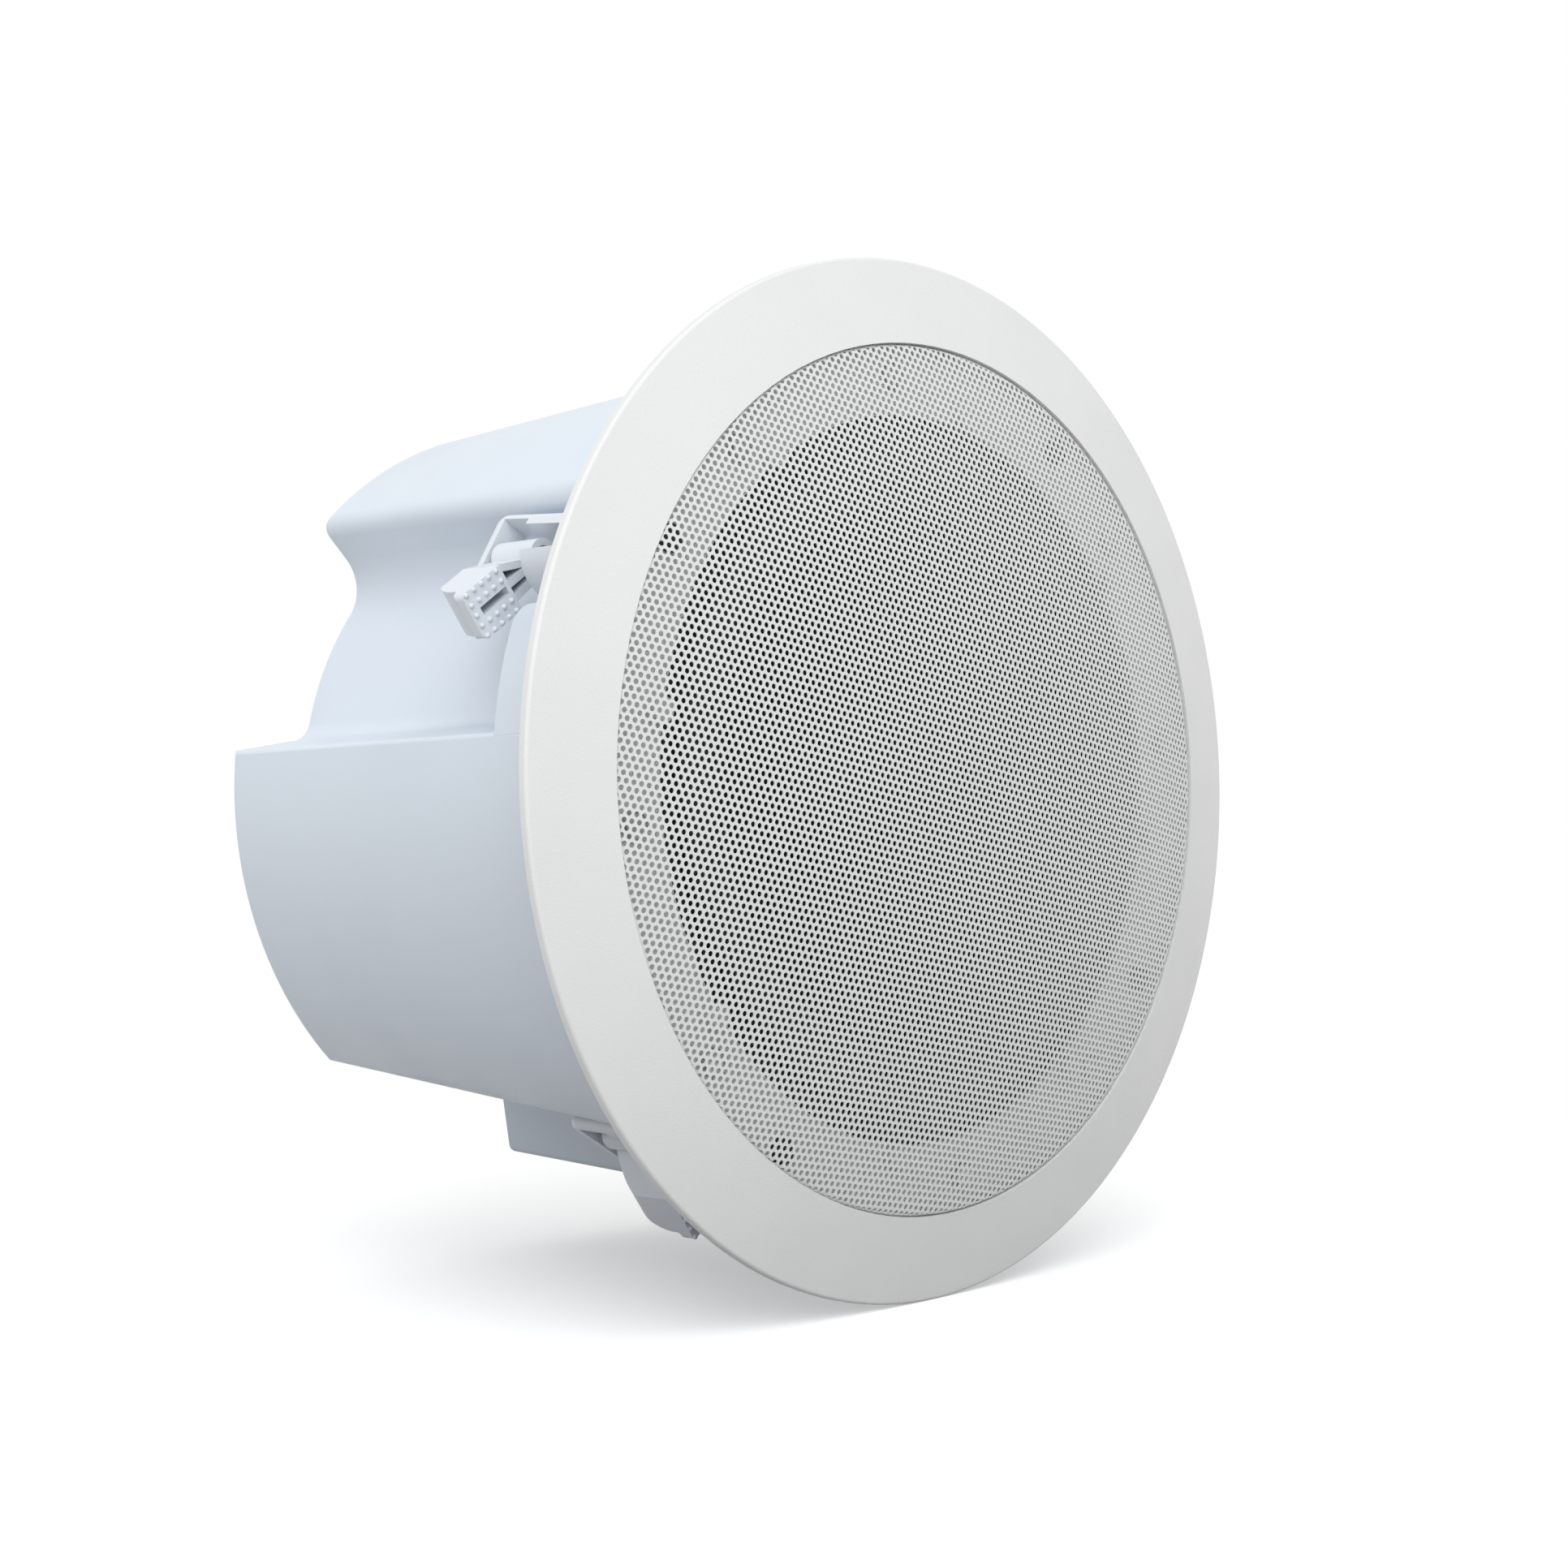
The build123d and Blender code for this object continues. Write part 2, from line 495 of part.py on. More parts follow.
def make_arm():
    """The flag's arm from the screw out along X: a neck with two pockets, and a slotted pad with a toe."""
    half, rib = PAD_WIDTH / 2, SLOT_WIDTH / 2
    front, back = FLAG_FRONT, FLAG_BACK
    section = make_face(Polyline((-half, front), (half, front), (half, back), (-half, back), close=True))
    section = fillet([nearest_vertex(section, (side, back)) for side in (-half, half)], ARM_ROUND)
    arm = extrude(side_sketch(0) * section, -PAD_FAR) & extrude(Plane.XY * arm_side(), half, both=True)
    plan = make_face(Polyline(
        (0, 0), (PAD_NEAR, -half), (PAD_FAR, -half), (PAD_FAR, half), (PAD_NEAR, half),
        (PAD_NEAR, NECK_HALF), (0, NECK_START), close=True))
    plan = fillet([nearest_vertex(plan, (PAD_FAR, side)) for side in (-half, half)], TIP_ROUND)
    arm &= extrude(front_sketch(front) * plan, front - back)
    hollow = make_face(Polyline(
        (0, NECK_BAR), (PAD_NEAR, NECK_BAR - half), (PAD_NEAR, NECK_HALF - NECK_BAR),
        (0, NECK_START - NECK_BAR), close=True))
    pockets = extrude(front_sketch(front) * hollow, front - back + NECK_FLOOR)
    pockets -= slab(0, PAD_NEAR, front, back, -rib, rib) + rod(BARREL_R, front, back)
    slot = PAD_NEAR + SLOT_LEAD
    return arm - pockets - slab(slot, slot + SLOT_LEN, front, front + SLOT_DEPTH, -rib, rib)


def arm_side():
    """Outline of the arm seen from the side: a toe at the far end, and a back that comes down to it."""
    wall = PAD_FAR - TOE_REACH
    toe_y = FLAG_FRONT + TOE_DEPTH
    wall_y = toe_y + TOE_REACH
    side = make_face([
        Polyline((PAD_FAR, toe_y), (PAD_FAR, FLAG_FRONT), (PAD_NEAR, FLAG_FRONT),
                 (PAD_NEAR, BARREL_FRONT), (0, BARREL_FRONT), (0, FLAG_BACK), (wall, FLAG_BACK),
                 (wall, wall_y)),
        Spline((wall, wall_y), (PAD_FAR, toe_y), tangents=((0, -1), (0, -1))),
    ])
    side = fillet([nearest_vertex(side, (PAD_FAR, FLAG_FRONT))], TOE_ROUND)
    return fillet([nearest_vertex(side, (wall, FLAG_BACK))], END_ROUND)


def make_gasket():
    front, back = BAFFLE_BACK, FLANGE_Y
    ring = turned([(OPENING_R, front), (BASKET_R, front), (BASKET_R, back), (OPENING_R, back)])
    return ring - driver_screw_holes(front, back)


def driver_screw_holes(y_from, y_to):
    hole = rod(DRIVER_SCREW_R + SCREW_HOLE_GAP, y_from, y_to, DRIVER_SCREW_PLACE_R)
    return around(hole, driver_screw_angles())


def make_basket():
    """Pressed steel basket with windows between its arms."""
    sheet = BASKET_SHEET
    basket = turned([
        (BASKET_R, FLANGE_Y), (ROLL_OUT_R, FLANGE_Y), (SHOULDER_R, SHOULDER_Y), (LANDING_OUT_R, LANDING_Y),
        (LANDING_IN_R, LANDING_Y), (LANDING_IN_R, BASE_Y), (COIL_R + 2 * COIL_GAP + WINDING_THICK, BASE_Y),
        (COIL_R + 2 * COIL_GAP + WINDING_THICK, BASE_Y + sheet), (LANDING_IN_R + sheet, BASE_Y + sheet),
        (LANDING_IN_R + sheet, LANDING_Y + sheet), (LANDING_OUT_R + sheet / 2, LANDING_Y + sheet),
        (SHOULDER_R + sheet, SHOULDER_Y + sheet / 2), (ROLL_OUT_R + sheet / 2, FLANGE_Y + sheet),
        (BASKET_R, FLANGE_Y + sheet),
    ])
    slant = (LANDING_Y - SHOULDER_Y) / (SHOULDER_R - LANDING_OUT_R)
    wall_y = lambda radius: SHOULDER_Y + (SHOULDER_R - radius) * slant
    cut = 3 * sheet
    inner, outer = LANDING_OUT_R + WINDOW_FOOT, SHOULDER_R - WINDOW_HEAD
    window = make_face(Polyline(
        (inner, wall_y(inner) - cut), (outer, wall_y(outer) - cut),
        (outer + cut, wall_y(outer) + cut), (inner + cut, wall_y(inner) + cut), close=True))
    opening = revolve(window, Axis.Y, WINDOW_SPAN)
    basket -= around(opening, [360 * k / WINDOWS for k in range(WINDOWS)])
    return basket - driver_screw_holes(FLANGE_Y, FLANGE_Y + sheet)


def make_surround():
    """Half-round rubber roll with a lip to the cone and a lip to the basket."""
    middle = (ROLL_IN_R + ROLL_OUT_R) / 2
    roll = (ROLL_OUT_R - ROLL_IN_R) / 2
    back, front = FLANGE_Y, FLANGE_Y - LIP_THICK
    outer = OPENING_R - GLUE_GAP * 4
    face = make_face([
        Polyline((ROLL_IN_R, back), (CONE_IN_R, back), (CONE_IN_R, front), (ROLL_IN_R, front)),
        ThreePointArc((ROLL_IN_R, front), (middle, front - roll), (ROLL_OUT_R, front)),
        Polyline((ROLL_OUT_R, front), (outer, front), (outer, back), (ROLL_OUT_R, back)),
        Line((ROLL_OUT_R, back), (ROLL_OUT_R - LIP_THICK, back)),
        ThreePointArc((ROLL_OUT_R - LIP_THICK, back), (middle, back - roll + LIP_THICK),
                      (ROLL_IN_R + LIP_THICK, back)),
        Line((ROLL_IN_R + LIP_THICK, back), (ROLL_IN_R, back)),
    ])
    return revolve(face, Axis.Y)


def make_cone():
    """Paper cone with a flat lip for the surround and a short neck for the coil."""
    neck_r = COIL_R + GLUE_GAP
    return turned([
        (ROLL_IN_R, FLANGE_Y), (CONE_IN_R, FLANGE_Y), (neck_r, NECK_Y - NECK_LEN), (neck_r, NECK_Y),
        (neck_r + CONE_THICK, NECK_Y), (neck_r + CONE_THICK, NECK_Y - NECK_LEN + CONE_THICK),
        (CONE_IN_R, FLANGE_Y + CONE_THICK), (ROLL_IN_R, FLANGE_Y + CONE_THICK),
    ])


def cone_y(radius):
    """Front face of the cone."""
    neck_r = COIL_R + GLUE_GAP
    return FLANGE_Y + (CONE_IN_R - radius) / (CONE_IN_R - neck_r) * (CONE_DEPTH - NECK_LEN)


def make_dust_cap():
    """Spherical cap on the cone."""
    edge_y = cone_y(CAP_R) - GLUE_GAP
    ball = (CAP_R ** 2 + CAP_RISE ** 2) / (2 * CAP_RISE)
    centre_y = edge_y - CAP_RISE + ball

    def arc(radius):
        edge_r = sqrt(radius ** 2 - (ball - CAP_RISE) ** 2)
        return [(r, centre_y - sqrt(radius ** 2 - r ** 2)) for r in (0, edge_r / 2, edge_r)]
    outer, inner = arc(ball), arc(ball - CONE_THICK)
    face = make_face([
        ThreePointArc(*outer), Line(outer[-1], inner[-1]),
        ThreePointArc(*reversed(inner)), Line(inner[0], outer[0]),
    ])
    return revolve(face, Axis.Y)


def make_former():
    inner = COIL_R - FORMER_WALL
    front, back = FORMER_FRONT, FORMER_BACK
    return turned([(inner, front), (COIL_R, front), (COIL_R, back), (inner, back)])


def make_winding():
    inner, outer = COIL_R + GLUE_GAP, COIL_R + WINDING_THICK
    start = FORMER_BACK - WINDING_LEN
    return turned([(inner, start), (outer, start), (outer, FORMER_BACK), (inner, FORMER_BACK)])


def make_spider():
    """Corrugated cloth disc that centres the coil."""
    inner = COIL_R + 3 * GLUE_GAP
    middle = LANDING_Y - SPIDER_THICK
    width = (LANDING_IN_R - inner) / (2 * SPIDER_WAVES)
    crests = [(inner, middle)]
    for k in range(2 * SPIDER_WAVES):
        lift = SPIDER_WAVE if k % 2 else -SPIDER_WAVE
        crests.append((inner + (k + 0.5) * width, middle + lift))
    crests.append((LANDING_IN_R, middle))
    crests.append((LANDING_OUT_R - SPIDER_INSET, middle))
    return turned(crests + [(r, y + SPIDER_THICK) for r, y in reversed(crests)])


def make_top_plate():
    inner = COIL_R + WINDING_THICK + COIL_GAP
    back = TOP_PLATE_Y + TOP_PLATE_THICK
    return turned([(inner, TOP_PLATE_Y), (TOP_PLATE_R, TOP_PLATE_Y), (TOP_PLATE_R, back), (inner, back)])


def make_magnet():
    inner, back = MAGNET_IN_R, BACK_PLATE_Y
    return turned([(inner, MAGNET_Y), (MAGNET_R, MAGNET_Y), (MAGNET_R, back), (inner, back)])


def make_yoke():
    """Back plate and vented pole piece."""
    pole = COIL_R - FORMER_WALL - COIL_GAP
    back = BACK_PLATE_Y + BACK_PLATE_THICK
    return turned([
        (VENT_R, TOP_PLATE_Y), (pole, TOP_PLATE_Y), (pole, BACK_PLATE_Y), (TOP_PLATE_R, BACK_PLATE_Y),
        (TOP_PLATE_R, back), (VENT_R, back),
    ])


def make_tag_strip():
    """Terminal strip on the basket's throat, with two solder tags."""
    throat = LANDING_IN_R + BASKET_SHEET
    y_mid = (LANDING_Y + BASE_Y) / 2 + BASKET_SHEET
    low, high = y_mid - TAG_HEIGHT / 2, y_mid + TAG_HEIGHT / 2
    plate = slab(0, throat + TAG_THICK, low, high, -TAG_WIDTH / 2, TAG_WIDTH / 2)
    for side in (-TAG_WIDTH / 4, TAG_WIDTH / 4):
        z_from, z_to = side - TAG_THICK, side + TAG_THICK
        plate += slab(throat, throat + 3 * TAG_THICK, y_mid - TAG_THICK, y_mid, z_from, z_to)
    return plate - rod(throat + GLUE_GAP, low - TAG_THICK, high + TAG_THICK)


def gland_place(shape):
    x, z = polar(GLAND_PLACE_R, FIRST_CLAMP + GLAND_ANGLE)
    return Pos(x, CAN_DEPTH, z) * shape


def hexagon(y_from, y_to):
    face = RegularPolygon(GLAND_HEX / 2, 6, major_radius=False)
    return extrude(front_sketch(y_from) * face, -(y_to - y_from))


def make_gland_body():
    """Threaded tube through the can's back, with a hexagon outside."""
    tail = -CAN_WALL - GLAND_NUT - GLAND_TAIL
    body = hexagon(0, GLAND_FLANGE) + rod(GLAND_THREAD_R, tail, 0)
    return gland_place(body - rod(GLAND_BORE_R, tail, GLAND_FLANGE))


def make_gland_cap():
    """Dome nut that squeezes the cable."""
    end = GLAND_FLANGE + GLAND_CAP_LEN
    cap = rod(GLAND_CAP_R, GLAND_FLANGE, end)
    rim = [e for e in cap.edges().filter_by(GeomType.CIRCLE) if e.center().Y > end - RUNNING_GAP]
    return gland_place(fillet(rim, GLAND_CAP_LEN / 3) - rod(GLAND_BORE_R + SCREW_HOLE_GAP, GLAND_FLANGE, end))


def make_gland_nut():
    back = -CAN_WALL
    front = back - GLAND_NUT
    return gland_place(hexagon(front, back) - rod(GLAND_THREAD_R + RUNNING_GAP, front, back))


def nodes():
    """Every piece by name."""
    made = {
        "bezel": make_bezel(), "grille": make_grille(), "back_can": make_can(), "can_seal": make_seal(),
        "can_screws": make_can_screws(), "driver_gasket": make_gasket(), "driver_basket": make_basket(),
        "driver_screws": make_driver_screws(), "cone": make_cone(), "surround": make_surround(),
        "dust_cap": make_dust_cap(), "coil_former": make_former(), "coil_winding": make_winding(),
        "spider": make_spider(), "top_plate": make_top_plate(), "magnet": make_magnet(), "yoke": make_yoke(),
        "tag_strip": make_tag_strip(), "gland_body": make_gland_body(), "gland_cap": make_gland_cap(),
        "gland_nut": make_gland_nut(),
    }
    clamp_pieces = {
        "clamp_guide": make_guide(), "clamp_screw": make_clamp_screw(),
        "clamp_nut": make_nut(), "clamp_flag": make_flag(),
    }
    for number, angle in enumerate(clamp_angles(), start=1):
        for name, shape in clamp_pieces.items():
            made[f"{name}_{number}"] = about_axis(shape, angle)
    return made


os.makedirs("parts", exist_ok=True)
for node, shape in nodes().items():
    export_step(Compound(children=shape) if isinstance(shape, list) else shape, f"parts/{node}.step")
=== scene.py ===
"""Round in-ceiling speaker: fine grille, clamp details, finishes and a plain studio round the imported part."""
import json
from math import atan2, ceil, cos, pi, radians, sin, sqrt, tau

import bpy
import numpy as np
from bpy.props import FloatProperty, FloatVectorProperty, IntProperty, PointerProperty
from mathutils import Matrix, Vector


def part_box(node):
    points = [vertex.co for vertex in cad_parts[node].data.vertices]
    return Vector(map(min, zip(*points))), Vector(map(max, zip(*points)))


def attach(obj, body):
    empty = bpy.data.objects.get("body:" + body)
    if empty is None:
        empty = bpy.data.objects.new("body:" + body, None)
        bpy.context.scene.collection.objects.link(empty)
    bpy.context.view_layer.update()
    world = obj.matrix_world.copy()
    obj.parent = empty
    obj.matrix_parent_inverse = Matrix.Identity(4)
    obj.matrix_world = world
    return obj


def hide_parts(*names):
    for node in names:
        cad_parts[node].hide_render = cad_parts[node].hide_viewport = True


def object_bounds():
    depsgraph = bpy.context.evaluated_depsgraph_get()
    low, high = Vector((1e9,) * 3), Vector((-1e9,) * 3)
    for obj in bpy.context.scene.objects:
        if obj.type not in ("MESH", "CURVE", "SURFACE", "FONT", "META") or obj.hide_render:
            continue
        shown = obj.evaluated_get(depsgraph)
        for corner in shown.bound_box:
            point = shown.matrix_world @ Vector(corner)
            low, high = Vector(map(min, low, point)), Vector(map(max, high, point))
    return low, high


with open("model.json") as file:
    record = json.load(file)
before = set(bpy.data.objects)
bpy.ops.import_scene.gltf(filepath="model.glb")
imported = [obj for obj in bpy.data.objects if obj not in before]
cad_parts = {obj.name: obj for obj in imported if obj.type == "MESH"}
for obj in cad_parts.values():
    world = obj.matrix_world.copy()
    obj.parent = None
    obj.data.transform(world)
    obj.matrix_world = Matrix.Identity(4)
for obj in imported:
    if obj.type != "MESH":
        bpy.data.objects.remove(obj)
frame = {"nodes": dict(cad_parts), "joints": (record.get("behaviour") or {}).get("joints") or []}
CAD_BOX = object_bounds()

bl_info = {
    "name": "In-ceiling speaker",
    "version": (1, 0, 0),
    "blender": (4, 5, 0),
    "location": "View3D > Sidebar > Speaker",
    "description": "Dresses a round in-ceiling speaker with its grille, clamp details and finishes",
    "category": "Object",
}

MM = 0.001
CLAMPS = (1, 2, 3, 4)
GRILLE_LOW, GRILLE_HIGH = (Vector(corner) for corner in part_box("grille"))
GRILLE_EDGE = GRILLE_HIGH.x
GRILLE_FRONT = GRILLE_LOW.y
GRILLE_RIM_END = GRILLE_HIGH.y
SENSOR_WIDTH_MM = 36

# The grille's mesh
CELL_SIDES = 6
QUARTERS = 4
SAME_CORNER = 0.001  # share of the pitch within which two cells' corners are one point

# The pips' and the clamp screws' meshes
PIP_TILTS = (0, pi / 6, pi / 3, pi * 0.49)  # rows of points from a pip's foot to its top
PIP_SIDES = 10
SHANK_SHARE = 0.588  # the shank's radius, as a share of the head's
HEAD_SHARE = 0.706  # the head's height, as a share of its radius
DOME_SHARE = 0.4  # the height of the head's dome, as a share of the head's
DOME_STEPS = 6
HEAD_SIDES = 32
THREAD_SIDES = 16
THREAD_ROWS = 6  # rows of points in one turn
FLANK = 1.25  # steepness of the thread's flanks, over 1 so that the root is flat
TIP_LENGTH = 0.4 * MM
TIP_SHARE = 0.8  # the radius of the tip's end, as a share of the thread's root

# The finishes and the floor
SHADE_TINT = (0.55, 0.56, 0.58, 1)  # what a colour is multiplied by where its shade is deepest
FLOOR_BOUNCE = 0.25  # grey of the floor for the light that it throws back
FLOOR_WHITE = 0.9  # white of the floor where it is seen
FLOOR_GLOW = 0.35  # light of its own where it is seen
FADE_FROM = 0.45  # where the floor starts to fade, as a share of its reach


def length(name, description, default_mm):
    return FloatProperty(name=name, description=description, default=default_mm * MM, unit="LENGTH",
                         precision=5)


def angle(name, description, default_degrees):
    return FloatProperty(name=name, description=description, default=radians(default_degrees),
                         subtype="ANGLE")


def colour(name, description, default):
    return FloatVectorProperty(name=name, description=description, default=default, size=3, min=0, max=1,
                               subtype="COLOR")


class SpeakerGrilleSettings(bpy.types.PropertyGroup):
    """Sizes of the perforated sheet"""
    hole: length("Hole", "Diameter of one round hole", 1.34)
    pitch: length("Pitch", "From one hole to the next", 2.0)
    wall: length("Wall", "Depth of a hole's painted wall", 0.3)
    turn: angle("Turn", "Direction of the rows, from +X towards +Z", -10.85)
    start_along: length("Start along", "First hole's place along its row, from the middle", 0.71)
    start_across: length("Start across", "First hole's place across its row, from the middle", 0.03)
    sag_radius: length("Sag radius", "Radius at which the two sags are given", 110.9)
    sag: length("Sag", "Part of the dome's sag that grows with the square of the radius", 7.27)
    sag_edge: length("Edge sag", "Part of the sag that grows with the fourth power", 2.44)
    bend: length("Bend", "Radius of the bend into the turned-back rim", 1.1)
    sides: IntProperty(name="Sides", description="Sides of each hole, two to a corner of its cell",
                       default=12)


class SpeakerClampSettings(bpy.types.PropertyGroup):
    """Sizes of the small details on the clamps"""
    parked: angle("Parked", "How far a parked flag stands from straight out", 67.0)
    pip: length("Pip", "Diameter of one grip pip", 1.45)
    pip_rise: length("Pip rise", "Height of a pip above the pad's face", 0.7)
    pip_across: length("Across", "From pip to pip across the pad", 2.75)
    pip_along: length("Along", "From pip to pip along the flag", 2.77)
    pip_first: length("First pip", "From the screw to the row of pips at the toe", 28.0)
    pip_rows: IntProperty(name="Rows", description="Rows of pips along and across the pad", default=5)
    pad_face: length("Pad face", "The pad's face, behind the ceiling seat", 38.8)
    thread_pitch: length("Thread pitch", "Pitch of the clamp screws", 0.7)
    thread_depth: length("Thread depth", "Depth of the clamp screws' thread", 0.38)


class SpeakerFinishSettings(bpy.types.PropertyGroup):
    """Colours of the outside"""
    bezel: colour("Bezel", "White of the bezel", (0.80, 0.80, 0.795))
    grille: colour("Grille", "White of the grille's paint", (0.76, 0.765, 0.755))
    can: colour("Can", "Cool white of the back can", (0.72, 0.785, 0.86))
    clamp: colour("Clamp", "White of the clamps", (0.76, 0.80, 0.85))
    cone: colour("Cone", "Black of the driver's cone", (0.018, 0.018, 0.022))


class SpeakerStageSettings(bpy.types.PropertyGroup):
    """Camera and light"""
    camera_place: FloatVectorProperty(name="Camera place", description="Where the camera stands", size=3,
                                      default=(-0.49589, -0.43119, -0.01141), subtype="TRANSLATION")
    camera_forward: FloatVectorProperty(name="Camera forward", description="Where the camera looks", size=3,
                                        default=(0.71967, 0.69412, 0.01656), subtype="DIRECTION")
    camera_roll: angle("Camera roll", "Turn of the camera about its line of sight", -0.983)
    lens: FloatProperty(name="Lens", description="Focal length in millimetres on a 36 mm sensor",
                        default=59.0)
    light_from: FloatVectorProperty(name="Light from", description="Side that most of the light comes from",
                                    size=3, default=(-0.55, -0.58, 0.60), subtype="DIRECTION")
    bright_side: FloatProperty(name="Bright side", description="Strength of the studio on that side",
                               default=0.98)
    dim_side: FloatProperty(name="Dim side", description="Strength of the studio on the other side",
                            default=0.20)
    key_power: FloatProperty(name="Key power", description="Power of the large soft lamp", default=25.0,
                             subtype="POWER")
    key_colour: colour("Key colour", "Colour of the lamp", (0.95, 0.98, 1.0))
    key_distance: length("Key distance", "From the middle of the speaker to the lamp", 2400)
    key_size: length("Key size", "Side of the square lamp", 1800)
    floor_reach: length("Floor reach", "Where the floor has faded into the background", 450)


SETTINGS = {
    "speaker_grille": SpeakerGrilleSettings,
    "speaker_clamps": SpeakerClampSettings,
    "speaker_finish": SpeakerFinishSettings,
    "speaker_stage": SpeakerStageSettings,
}


# Meshes

def add_piece(name, points, faces, body, finish):
    """A smooth-shaded mesh object that rides on a body."""
    mesh = bpy.data.meshes.new(name)
    mesh.from_pydata(points, [], faces)
    mesh.validate()
    mesh.polygons.foreach_set("use_smooth", np.ones(len(mesh.polygons), dtype=bool))
    mesh.materials.append(finish)
    piece = bpy.data.objects.new(name, mesh)
    bpy.context.collection.objects.link(piece)
    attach(piece, body)
    return piece


def sheet_profile(flat, grille):
    """Radius, depth and slope of the formed sheet at each radius of the flat one."""
    def dome(radius):
        share = (radius / grille.sag_radius) ** 2
        return GRILLE_FRONT + grille.sag * share + grille.sag_edge * share ** 2

    def slope(radius):
        share = (radius / grille.sag_radius) ** 2
        return np.arctan(2 * (grille.sag + 2 * grille.sag_edge * share) * radius / grille.sag_radius ** 2)

    edge_slope = slope(GRILLE_EDGE - grille.bend)
    bend_from = GRILLE_EDGE - grille.bend * (1 - sin(edge_slope))
    bend_length = grille.bend * (pi / 2 - edge_slope)
    turn = edge_slope + np.clip((flat - bend_from) / grille.bend, 0, pi / 2 - edge_slope)
    wall = np.maximum(flat - bend_from - bend_length, 0)
    on_dome = flat < bend_from
    radius = np.where(on_dome, flat, bend_from + grille.bend * (np.sin(turn) - sin(edge_slope)))
    past_dome = dome(bend_from) + grille.bend * (cos(edge_slope) - np.cos(turn)) + wall
    depth = np.where(on_dome, dome(flat), past_dome)
    return radius, depth, np.where(on_dome, slope(flat), turn)


def formed(flat_points, grille, below=0.0):
    """Points of the flat sheet carried onto the formed one, or a depth below its face."""
    flat = np.hypot(flat_points[:, 0], flat_points[:, 1])
    heading = np.arctan2(flat_points[:, 1], flat_points[:, 0])
    radius, depth, slope = sheet_profile(flat, grille)
    radius = radius - below * np.sin(slope)
    depth = depth + below * np.cos(slope)
    return np.column_stack([radius * np.cos(heading), depth, radius * np.sin(heading)])


def hole_centres(grille):
    """Places of all the holes on the flat sheet, out to the end of its rim."""
    rim = GRILLE_RIM_END - sheet_profile(np.array([GRILLE_EDGE]), grille)[1][0]
    reach = GRILLE_EDGE + rim - grille.pitch / 2
    row_step = grille.pitch * sqrt(3) / 2
    rows = ceil(reach / row_step) + 1
    across, along = np.meshgrid(np.arange(-rows, rows + 1), np.arange(-2 * rows, 2 * rows + 1))
    x = grille.start_along + grille.pitch * (along + across / 2).ravel()
    z = grille.start_across + row_step * across.ravel()
    inside = np.hypot(x, z) < reach
    x, z = x[inside], z[inside]
    cosine, sine = cos(grille.turn), sin(grille.turn)
    return np.column_stack([x * cosine - z * sine, x * sine + z * cosine])


def ring(radius, sides, turn):
    steps = turn + tau * np.arange(sides) / sides
    return radius * np.column_stack([np.cos(steps), np.sin(steps)])


def perforated(centres, grille):
    """Front face and hole walls of the sheet round the given holes."""
    count, sides = len(centres), grille.sides
    cell = ring(grille.pitch / sqrt(3), CELL_SIDES, grille.turn + pi / CELL_SIDES)
    corners = centres[:, None, :] + cell[None]
    grid = np.round(corners.reshape(-1, 2) / (grille.pitch * SAME_CORNER)).astype(np.int64)
    _, first, corner_of = np.unique(grid, axis=0, return_index=True, return_inverse=True)
    rims = (centres[:, None, :] + ring(grille.hole / 2, sides, grille.turn)[None]).reshape(-1, 2)
    shared = corners.reshape(-1, 2)[first]
    points = np.vstack([formed(shared, grille), formed(rims, grille), formed(rims, grille),
                        formed(rims, grille, grille.wall)])
    corner = corner_of.reshape(count, CELL_SIDES)
    rim = len(shared) + np.arange(count * sides).reshape(count, sides)
    mouth, end = rim + count * sides, rim + 2 * count * sides
    per_corner = sides // CELL_SIDES
    faces = []
    for k in range(CELL_SIDES):
        turn_to = (k + 1) % CELL_SIDES
        last = (k + 1) * per_corner % sides
        for step in range(per_corner):
            near, far = k * per_corner + step, (k * per_corner + step + 1) % sides
            faces.append(np.column_stack([corner[:, k], rim[:, near], rim[:, far]]))
        faces.append(np.column_stack([corner[:, k], rim[:, last], corner[:, turn_to]]))
    walls = [np.column_stack([mouth[:, k], end[:, k], end[:, (k + 1) % sides], mouth[:, (k + 1) % sides]])
             for k in range(sides)]
    return points, np.vstack(faces).tolist() + np.vstack(walls).tolist()


def row_faces(rows, sides):
    """Faces between neighbouring rows of points, where each row is a ring of the same number of points."""
    faces = []
    for row in range(rows - 1):
        for k in range(sides):
            near, far = row * sides + k, row * sides + (k + 1) % sides
            faces.append((near, far, far + sides, near + sides))
    return faces


def lathe(profile, sides):
    """Points and faces of a profile of (radius, depth) turned about the depth axis."""
    points = []
    steps = [tau * k / sides for k in range(sides)]
    for radius, depth in profile:
        points += [(radius * cos(step), depth, radius * sin(step)) for step in steps]
    return points, row_faces(len(profile), sides)


def thread_rows(radius, depth, pitch, start, end, sides, rows_per_turn):
    """Points and faces of a screw thread along the depth axis, a cylinder whose radius follows the helix."""
    rows = ceil((end - start) / pitch * rows_per_turn)
    points = []
    for row in range(rows + 1):
        y = start + (end - start) * row / rows
        for k in range(sides):
            share = (y / pitch - k / sides) % 1
            r = radius - depth * min(1, abs(2 * share - 1) * FLANK)
            points.append((r * cos(tau * k / sides), y, r * sin(tau * k / sides)))
    return points, row_faces(rows + 1, sides)


def joined(parts):
    """Several (points, faces) lists as one."""
    points, faces = [], []
    for more_points, more_faces in parts:
        shift = len(points)
        points += list(more_points)
        faces += [tuple(index + shift for index in face) for face in more_faces]
    return points, faces


def moved(part, matrix):
    points, faces = part
    return [tuple(matrix @ Vector(point)) for point in points], faces


